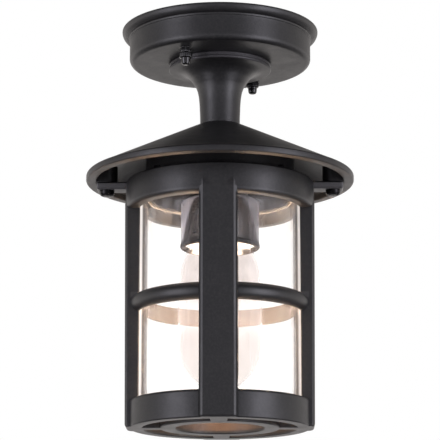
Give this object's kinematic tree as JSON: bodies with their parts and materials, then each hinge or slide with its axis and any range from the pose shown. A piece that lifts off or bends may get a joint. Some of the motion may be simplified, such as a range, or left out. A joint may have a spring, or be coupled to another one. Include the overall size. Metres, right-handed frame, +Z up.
{
  "type": "porch ceiling lantern",
  "caption": "Porch ceiling lantern: round pan and trumpet stem over a conical roof, with a strapped cage and clear glass cylinder around a lamp bulb.",
  "frame": {"origin": "centre of the ceiling plane, at the middle of the two ceiling screw holes", "axes": "+Z up into the ceiling, -Y towards the viewer, +X to the right"},
  "size_m": [0.1818, 0.1818, 0.275],
  "materials": {
    "black_coat": "satin powder coat with a fine cast grain",
    "seal_rubber": "matt foam rubber",
    "zinc_steel": "zinc-plated steel",
    "brass": "plain brass",
    "white_plastic": "moulded nylon",
    "wire_brown": "wire insulation",
    "wire_blue": "wire insulation",
    "wire_green": "wire insulation, green with a yellow stripe",
    "black_plastic": "moulded phenolic",
    "black_gloss": "glossy black",
    "ceramic": "unglazed steatite",
    "bulb_glass": "clear thin glass",
    "nickel_cap": "nickel-plated brass",
    "solder": "dull solder",
    "filament": "phosphor-coated light filament, lit",
    "seat_silicone": "grey silicone",
    "clear_glass": "clear drawn glass tube",
    "dark_screw": "blackened steel"
  },
  "bodies": {
    "ceiling_mount": {"ceiling_gasket": "seal_rubber", "ceiling_pan": "black_coat", "ceiling_bracket": "zinc_steel", "bracket_studs": "zinc_steel", "lock_nut": "black_coat", "tube_washer_top": "zinc_steel", "tube_nut_top": "brass", "threaded_tube": "zinc_steel", "tube_bush": "white_plastic", "stem": "black_coat", "roof": "black_coat", "roof_washer": "zinc_steel", "roof_nut": "brass", "terminal_block": "white_plastic", "terminal_screws": "brass", "earth_screw": "brass", "wire_live": "wire_brown", "wire_neutral": "wire_blue", "wire_earth": "wire_green", "holder_cap": "black_plastic", "holder_base": "ceramic", "holder_body": "black_plastic", "holder_contact_screws": "brass", "thread_shell": "brass", "centre_contact": "brass", "holder_shroud": "black_gloss", "shroud_ring": "black_plastic"},
    "cap_nut_near": {"cap_nut_left": "black_coat"},
    "cap_nut_far": {"cap_nut_right": "black_coat"},
    "bulb": {"bulb_glass": "bulb_glass", "bulb_cap": "nickel_cap", "bulb_insulator": "black_gloss", "bulb_tip": "solder", "bulb_stem": "bulb_glass", "bulb_wires": "nickel_cap", "bulb_filaments": "filament"},
    "cage": {"cage_frame": "black_coat", "glass_retainer": "black_coat", "retainer_screws": "dark_screw", "glass_seat_top": "seat_silicone", "glass_seat_bottom": "seat_silicone", "glass_cylinder": "clear_glass"},
    "ear_screw_l": {"ear_screw_left": "dark_screw"},
    "ear_screw_r": {"ear_screw_right": "dark_screw"}
  },
  "joints": [
    {"name": "cage_drop", "type": "slide", "parent": "ceiling_mount", "child": "cage", "axis": [0, 0, -1], "range_m": [0, 0.17]},
    {"name": "bulb_out", "type": "slide", "parent": "ceiling_mount", "child": "bulb", "axis": [0, 0, -1], "range_m": [0, 0.165]},
    {"name": "ear_screw_l_turn", "type": "hinge", "parent": "cage", "child": "ear_screw_l", "pos_m": [-0.0768, 0, -0.11275], "axis": [0, 0, -1], "continuous": true},
    {"name": "ear_screw_r_turn", "type": "hinge", "parent": "cage", "child": "ear_screw_r", "pos_m": [0.0768, 0, -0.11275], "axis": [0, 0, -1], "continuous": true},
    {"name": "cap_nut_near_turn", "type": "hinge", "parent": "ceiling_mount", "child": "cap_nut_near", "pos_m": [-0.02215, -0.04292, -0.028], "axis": [0, 0, -1], "continuous": true},
    {"name": "cap_nut_far_turn", "type": "hinge", "parent": "ceiling_mount", "child": "cap_nut_far", "pos_m": [0.02215, 0.04292, -0.0242], "axis": [0, 0, -1], "continuous": true}
  ]
}
